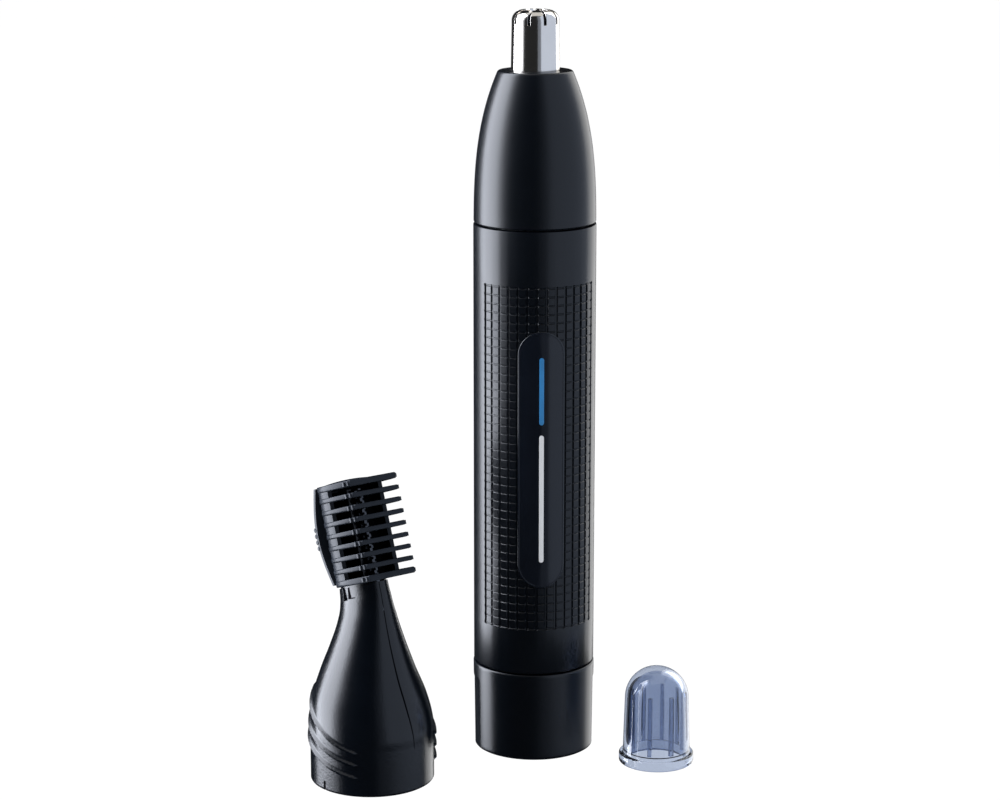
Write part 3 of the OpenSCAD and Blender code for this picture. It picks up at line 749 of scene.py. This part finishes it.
def comb():
    """The comb: fins with a way for the blades, on a hollow back that is open at the front."""
    top = COMB_S0 + FIN_PITCH * (FINS - 1)
    fin_t, end_t = 0.86, 1.1
    meshes = [fin(COMB_S0 + FIN_PITCH * i, fin_t) for i in range(1, FINS - 1)]
    meshes += [fin(COMB_S0, end_t), fin(top, end_t, closed=True)]
    grids = []
    for inset in (0.12, 0.95):
        half = comb_half(inset, WALL_BEND, WALL_REACH)
        path = [(x, -y) for x, y in reversed(half)] + half
        grids.append([[(x, y, z) for x, y in path] for z in (COMB_S0, top)])
    meshes.append(wall(*grids, lambda i, j: True, wrap=False))
    foot = rounded([(4.5, -2.6, 0.3), (7.5, -2.6, 0), (7.5, 2.6, 0), (4.5, 2.6, 0.3)])
    meshes += [prism(foot, s - 0.4, s + 0.5) for s in (COMB_S0, top)]
    meshes += thumb_plate() + fin_pads()
    piece("comb_body", [placed(m, IN_COMB) for m in meshes], COMB, "comb", ["eyebrow_comb"],
          sharp=40)


# ---------------------------------------------------------------- clear cap
def cap():
    """The clear cap, with ribs that grip the guard tube."""
    dome_r, dome_z, thick = 5.8, 12.1, 1.0
    ribs, rib_in, rib_out, rib_half = 8, 4.42, 5.05, 0.35
    quarter = [math.pi / 2 * k / 20 for k in range(21)]
    profile = rounded([(5.5, 0, 0.1), (6.8, 0, 0.35), (6.8, 1.75, 0.35), (6.1, 1.9, 0.15),
                       (5.9, 9, 0)])[:-1]
    profile += [(6.1 - 0.2 * k / 8, 2.1 + 6.9 * k / 8) for k in range(1, 9)]
    profile += [(dome_r * math.cos(a), dome_z + dome_r * math.sin(a)) for a in quarter]
    r = dome_r - thick
    profile += [(r * math.cos(a), dome_z + r * math.sin(a)) for a in reversed(quarter)]
    profile += [(4.95, 9), (5.1, 2.3), (5.5, 2.2)]
    rib = prism(rounded([(rib_in, -rib_half, 0.15), (rib_out, -rib_half, 0),
                         (rib_out, rib_half, 0), (rib_in, rib_half, 0.15)]), 2.4, 13.3)
    meshes = [turned(profile, 160)]
    for i in range(ribs):
        turn = Matrix.Rotation(math.radians(360 / ribs * (i + 0.5)), 4, "Z")
        meshes.append(placed(rib, turn))
    at = Matrix.Translation((CAP.x, CAP.y, 0))
    piece("clear_cap_shell", [placed(m, at) for m in meshes], CLEAR_WITH_PAINTED_SHADE, "cap", ["clear_cap"],
          sharp=30)


# ---------------------------------------------------------------- stage, light and camera
FLOOR_Z = -31           # just below the travel of the base, so that the pulled-off base shows
FLOOR_SIZE, DOME_R = 12, 5.5                        # in metres
MIRRORED_R, MIRRORED_DEPTH, MIRRORED_TOP = 11, 60, -1


def white_emitter(name, shade):
    """A white light-giving material, whose own surface has the grey shade."""
    m = bpy.data.materials.new(name)
    m.use_nodes = True
    shader = m.node_tree.nodes["Principled BSDF"]
    shader.inputs["Base Color"].default_value = (shade, shade, shade, 1)
    shader.inputs["Roughness"].default_value = 0.9
    shader.inputs["Specular IOR Level"].default_value = 0.0
    shader.inputs["Emission Color"].default_value = (1, 1, 1, 1)
    shader.inputs["Emission Strength"].default_value = 1.0
    return m


def stage():
    """A white floor and dome that the camera sees, but that the glossy plastic doesn't mirror.

    A hidden cylinder below the eyebrow head stands in for that head's reflection in the surface
    it stands on, so that the handle's base mirrors it."""
    bpy.ops.mesh.primitive_plane_add(size=FLOOR_SIZE, location=(0, 0, FLOOR_Z * MM))
    floor = bpy.context.object
    floor.name = "floor"
    floor.data.materials.append(white_emitter("floor_white", 0.03))
    bpy.ops.mesh.primitive_uv_sphere_add(segments=48, ring_count=24, radius=DOME_R)
    dome = bpy.context.object
    dome.name = "dome"
    dome.data.materials.append(white_emitter("dome_white", 0.0))
    dome.data.shade_smooth()
    for o in (floor, dome):
        o.visible_glossy = False
    dome.visible_diffuse = False
    dome.visible_shadow = False
    middle = (BROW.x * MM, BROW.y * MM, (MIRRORED_TOP - MIRRORED_DEPTH / 2) * MM)
    bpy.ops.mesh.primitive_cylinder_add(vertices=64, radius=MIRRORED_R * MM,
                                        depth=MIRRORED_DEPTH * MM, location=middle)
    mirrored = bpy.context.object
    mirrored.name = "brow_head_mirrored_in_floor"
    mirrored.data.materials.append(BLACK)
    mirrored.data.shade_smooth()
    mirrored.visible_camera = False


def panel(name, azimuth, width, radiance, color=(1, 1, 1), height=2.4, z=0.75, distance=1.0):
    """A tall soft light that faces the handle. Azimuth is degrees from -Y, positive towards +X."""
    data = bpy.data.lights.new(name, "AREA")
    data.shape = "RECTANGLE"
    data.size, data.size_y = width, height
    data.energy = radiance * math.pi * width * height
    data.color = color
    obj = bpy.data.objects.new(name, data)
    bpy.context.scene.collection.objects.link(obj)
    a = math.radians(azimuth)
    obj.location = (distance * math.sin(a), -distance * math.cos(a), z)
    inwards = Vector((-obj.location.x, -obj.location.y, 0))
    obj.rotation_euler = inwards.to_track_quat("-Z", "Y").to_euler()
    return obj


def lights():
    world = bpy.data.worlds.new("studio")
    bpy.context.scene.world = world
    world.use_nodes = True
    back = world.node_tree.nodes["Background"]
    back.inputs["Color"].default_value = (0.9, 0.95, 1.0, 1)
    back.inputs["Strength"].default_value = 0.02
    cool, blue = (0.86, 0.90, 1.0), (0.70, 0.80, 1.0)
    panel("key_left", -104, 0.84, 9.3, cool, height=2.3, z=0.78)
    panel("key_slope", -77, 0.16, 3.4, cool)
    panel("key_edge", -68, 0.14, 0.7, cool)
    panel("fill_edge", 13, 0.28, 0.21, blue)
    panel("fill_right", 69.5, 2.3, 0.76, blue)
    panel("rim_right", 133, 0.72, 2.0)
    top = panel("top", 0, 1.2, 0.6, height=1.2, z=1.4, distance=0.001)
    top.rotation_euler = (0, 0, 0)


def camera():
    """A long lens in front of the handle, a little to its left, looking slightly down."""
    data = bpy.data.cameras.new("camera")
    data.sensor_width, data.lens = 36, 98.1
    data.clip_start, data.clip_end = 0.02, 30
    down, aside = 12.76, -6                         # degrees
    obj = bpy.data.objects.new("camera", data)
    bpy.context.scene.collection.objects.link(obj)
    obj.location = Vector((-56.7, -479.7, 174.6)) * MM
    obj.rotation_euler = (math.radians(90 - down), 0, math.radians(aside))
    bpy.context.scene.camera = obj


bpy.context.scene.view_settings.view_transform = "Standard"
camera()
stage()
lights()
dress_cad_nodes()
handle_tube()
badge()
twist_base()
nose_cone()
guard()
brow_shells()
comb()
cap()
